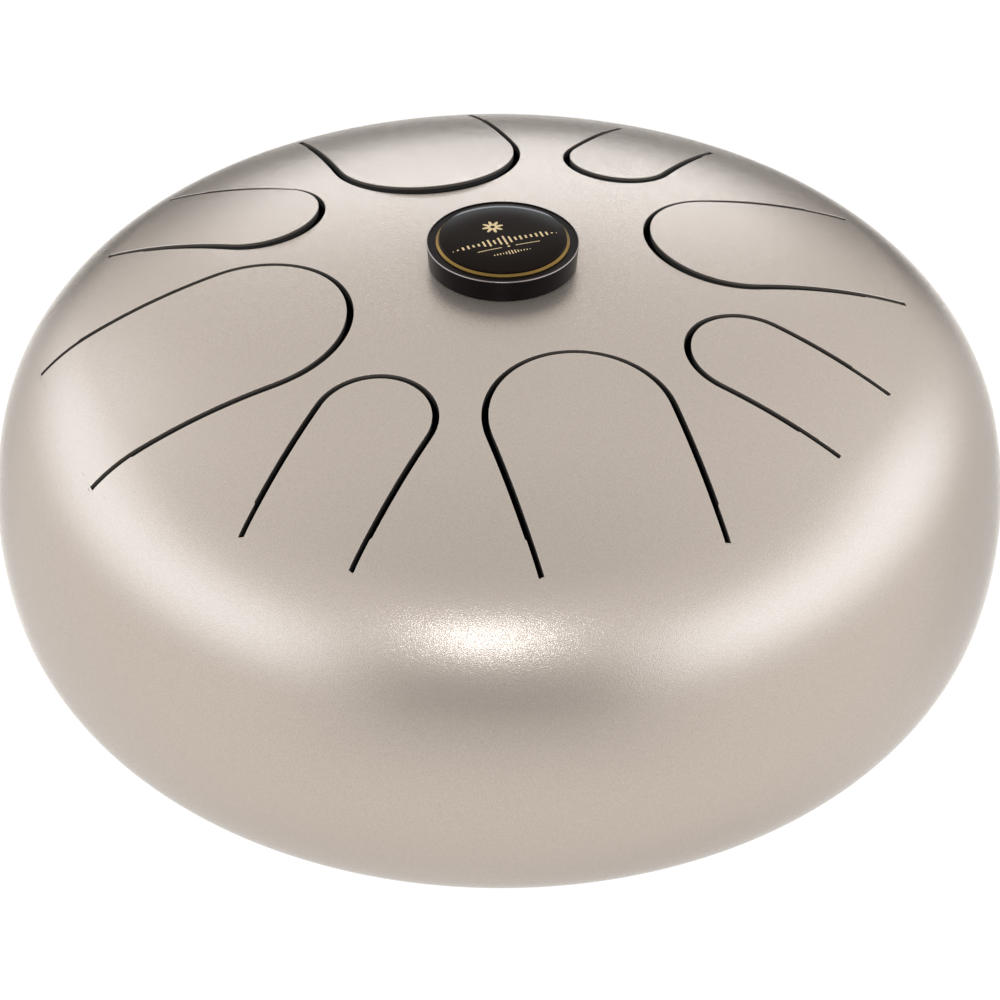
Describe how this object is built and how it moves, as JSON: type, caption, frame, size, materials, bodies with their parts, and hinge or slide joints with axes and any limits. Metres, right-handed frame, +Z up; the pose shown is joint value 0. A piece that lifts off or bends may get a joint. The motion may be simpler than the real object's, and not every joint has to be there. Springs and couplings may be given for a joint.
{
  "type": "steel tongue drum",
  "caption": "Round two-shell steel tongue drum in champagne metallic paint, with U-shaped slots freeing its tongues, a round crown badge, rubber feet and a sound port underneath.",
  "frame": {"origin": "on the ground under the middle of the drum, in the plane of the foot soles", "axes": "+Z up out of the crown, -Y towards the front, where the player sits, +X to the player's right"},
  "size_m": [0.3, 0.3, 0.1729],
  "materials": {
    "champagne_paint": "fine metallic, satin",
    "black_rubber": "matt",
    "zinc_steel": "zinc plated",
    "black_foam": "matt foam with adhesive",
    "black_gloss": "glossy",
    "gold_trim": "polished",
    "black_print": "printed black with a gold ornament",
    "printed_resin": "polished, black with a gold ornament showing through"
  },
  "bodies": {
    "drum": {"upper_shell": "champagne_paint", "lower_shell": "champagne_paint", "seam_weld": "champagne_paint", "foot_1": "black_rubber", "foot_2": "black_rubber", "foot_3": "black_rubber", "foot_4": "black_rubber", "foot_sleeves": "zinc_steel", "foot_screws": "zinc_steel", "foot_washers": "zinc_steel", "foot_nuts": "zinc_steel", "badge_pad": "black_foam", "badge_cup": "black_gloss", "badge_ring": "gold_trim", "badge_plate": "black_print", "badge_dome": "printed_resin"},
    "tongue_1": {"tongue_1": "champagne_paint"},
    "tongue_2": {"tongue_2": "champagne_paint"},
    "tongue_3": {"tongue_3": "champagne_paint"},
    "tongue_4": {"tongue_4": "champagne_paint"},
    "tongue_5": {"tongue_5": "champagne_paint"},
    "tongue_6": {"tongue_6": "champagne_paint"},
    "tongue_7": {"tongue_7": "champagne_paint"},
    "tongue_8": {"tongue_8": "champagne_paint"}
  },
  "joints": [
    {"name": "tongue_1_flex", "type": "hinge", "parent": "drum", "child": "tongue_1", "pos_m": [0.03755, -0.11555, 0.13997], "axis": [0.9511, 0.309, 0], "range_deg": [-0.4, 0.4], "stiffness_Nm_per_rad": 580},
    {"name": "tongue_2_flex", "type": "hinge", "parent": "drum", "child": "tongue_2", "pos_m": [0.10393, -0.05374, 0.14223], "axis": [0.454, 0.891, 0], "range_deg": [-0.4, 0.4], "stiffness_Nm_per_rad": 500},
    {"name": "tongue_3_flex", "type": "hinge", "parent": "drum", "child": "tongue_3", "pos_m": [0.11221, 0.03488, 0.14199], "axis": [-0.309, 0.9511, 0], "range_deg": [-0.4, 0.4], "stiffness_Nm_per_rad": 540},
    {"name": "tongue_4_flex", "type": "hinge", "parent": "drum", "child": "tongue_4", "pos_m": [0.05111, 0.09854, 0.14495], "axis": [-0.891, 0.454, 0], "range_deg": [-0.4, 0.4], "stiffness_Nm_per_rad": 480},
    {"name": "tongue_5_flex", "type": "hinge", "parent": "drum", "child": "tongue_5", "pos_m": [-0.03623, 0.1102, 0.1427], "axis": [-0.9511, -0.309, 0], "range_deg": [-0.4, 0.4], "stiffness_Nm_per_rad": 620},
    {"name": "tongue_6_flex", "type": "hinge", "parent": "drum", "child": "tongue_6", "pos_m": [-0.10956, 0.05481, 0.1394], "axis": [-0.454, -0.891, 0], "range_deg": [-0.4, 0.4], "stiffness_Nm_per_rad": 460},
    {"name": "tongue_7_flex", "type": "hinge", "parent": "drum", "child": "tongue_7", "pos_m": [-0.12589, -0.04133, 0.13181], "axis": [0.309, -0.9511, 0], "range_deg": [-0.4, 0.4], "stiffness_Nm_per_rad": 560},
    {"name": "tongue_8_flex", "type": "hinge", "parent": "drum", "child": "tongue_8", "pos_m": [-0.05604, -0.11174, 0.13786], "axis": [0.891, -0.454, 0], "range_deg": [-0.4, 0.4], "stiffness_Nm_per_rad": 430}
  ]
}
